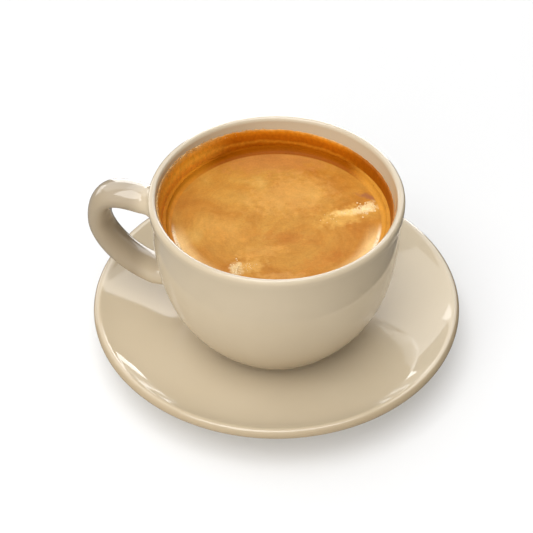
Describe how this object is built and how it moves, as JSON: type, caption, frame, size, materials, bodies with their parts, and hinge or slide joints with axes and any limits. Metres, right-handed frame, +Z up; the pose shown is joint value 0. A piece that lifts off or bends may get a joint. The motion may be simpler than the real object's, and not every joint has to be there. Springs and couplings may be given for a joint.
{
  "type": "americano in a cup on a saucer",
  "caption": "Round thick-walled coffee cup with a loop handle, filled with black coffee under golden crema, standing on a wide shallow saucer.",
  "frame": {"origin": "on the cup's axis, at the middle of the saucer's foot, in the plane that it stands on", "axes": "+Z up along the cup's axis; -Y is the front; the handle points to -X, turned 13 degrees towards +Y"},
  "size_m": [0.1515, 0.15, 0.0755],
  "materials": {
    "saucer_glaze": "gloss",
    "cup_glaze": "gloss",
    "coffee": "gloss",
    "crema": "satin",
    "wall_film": "satin"
  },
  "bodies": {
    "root": {"saucer": "saucer_glaze", "cup": "cup_glaze", "coffee": "coffee", "crema": "crema", "wall_film": "wall_film"}
  },
  "joints": []
}
